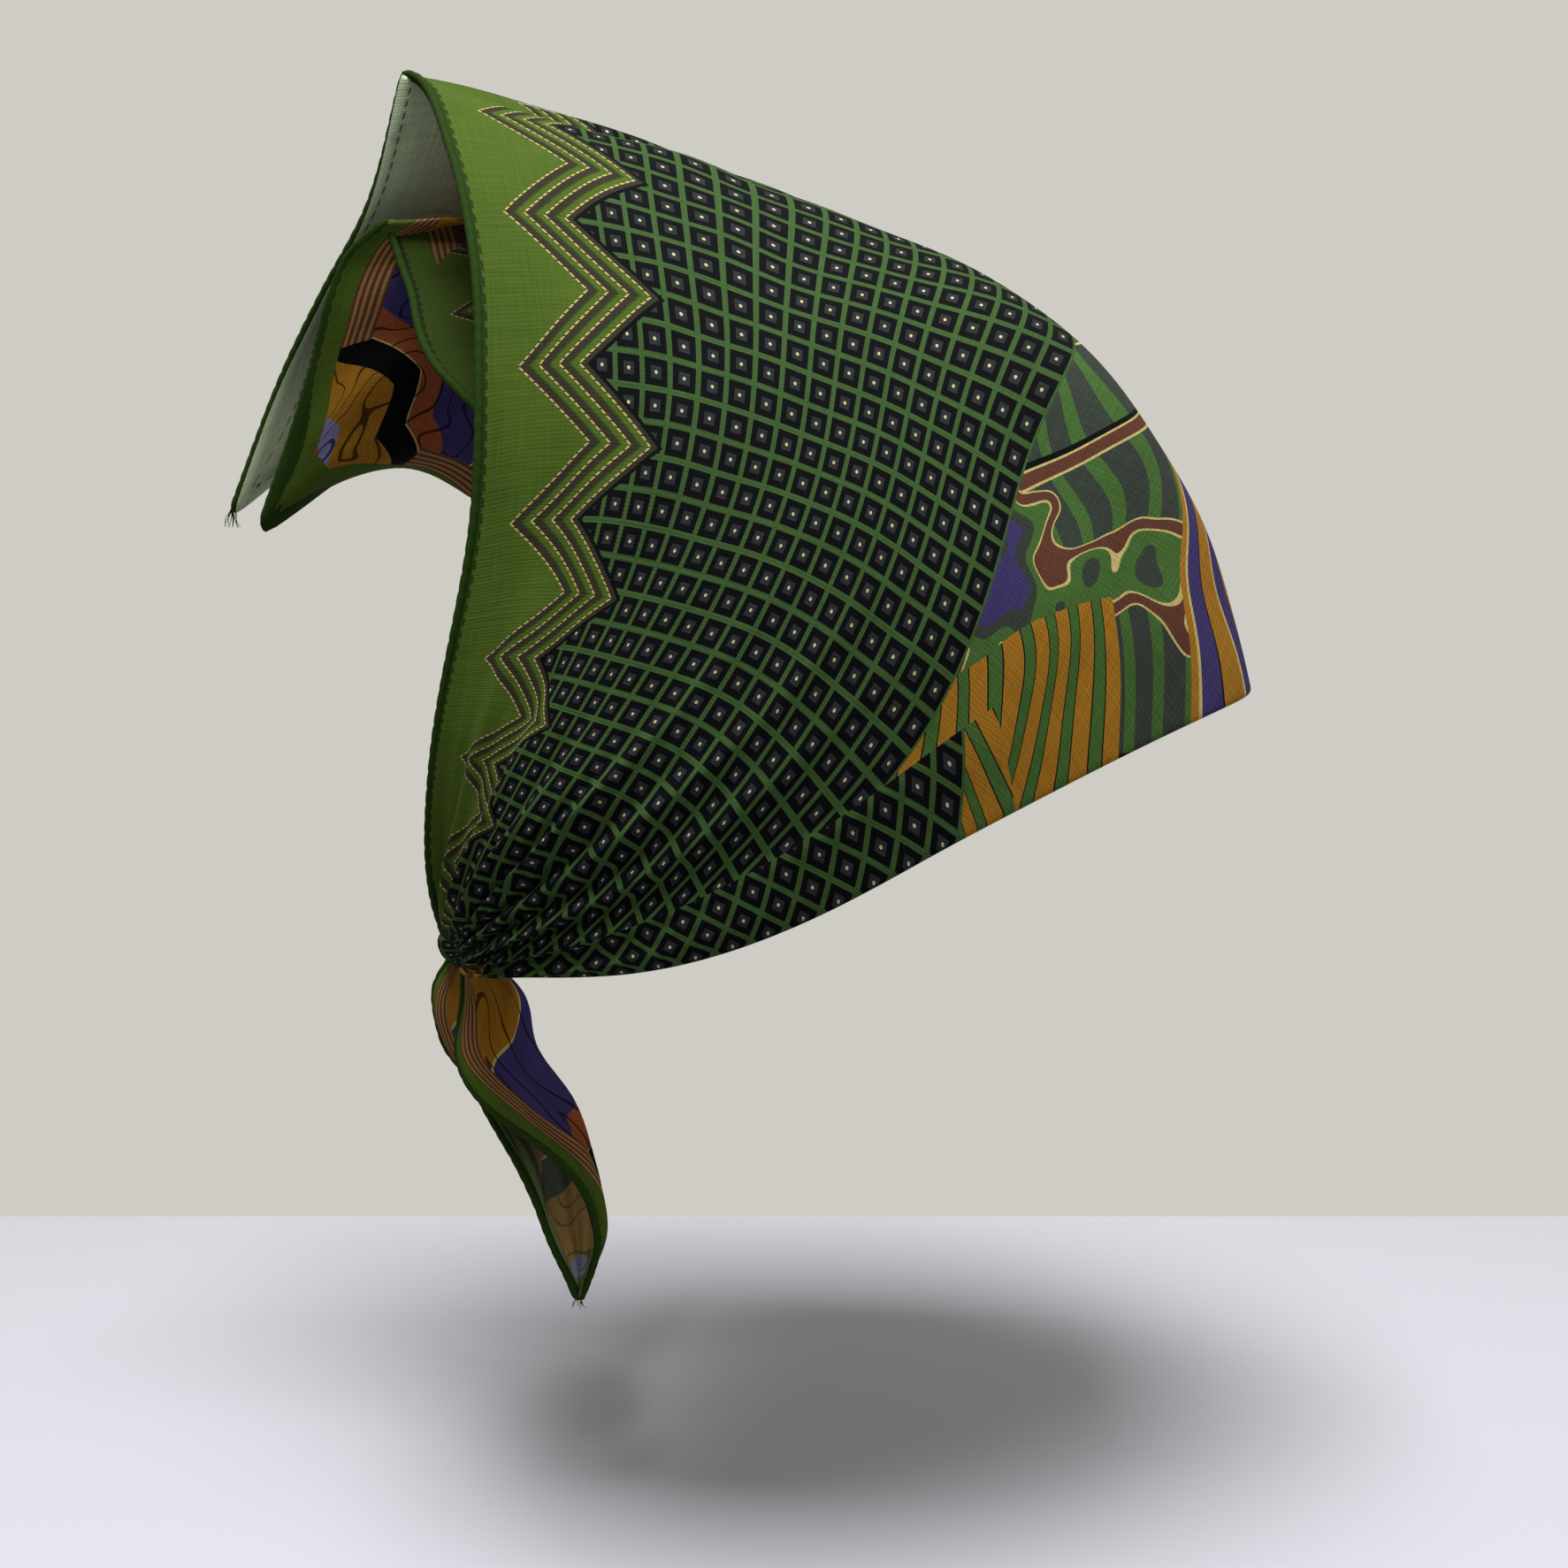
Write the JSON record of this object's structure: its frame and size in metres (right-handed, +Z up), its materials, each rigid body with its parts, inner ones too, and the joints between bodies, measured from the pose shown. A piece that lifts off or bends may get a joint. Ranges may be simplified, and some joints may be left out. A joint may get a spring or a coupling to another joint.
{
  "type": "headscarf",
  "caption": "Square printed cotton scarf folded on its diagonal and tied at the nape, in its worn form: a hood with a standing corner behind, a knot and hanging free ends.",
  "frame": {"origin": "top of the wearer's crown, where the scarf sits", "axes": "+Z up, +X towards the forehead, -Y the wearer's right side"},
  "size_m": [0.2304, 0.1589, 0.2711],
  "materials": {
    "printed_green_cotton": "thin plain-weave cotton, printed right side out",
    "pale_wrong_side_cotton": "thin plain-weave cotton, paler wrong side out",
    "dark_hem_cotton": "gathered cotton, shaded in its folds",
    "ochre_print_cotton": "thin plain-weave cotton, corner of the print"
  },
  "bodies": {
    "root": {"crown_layer": "printed_green_cotton", "under_layer": "pale_wrong_side_cotton", "knot": "dark_hem_cotton", "tail_near": "ochre_print_cotton", "tail_far": "ochre_print_cotton"}
  },
  "joints": []
}
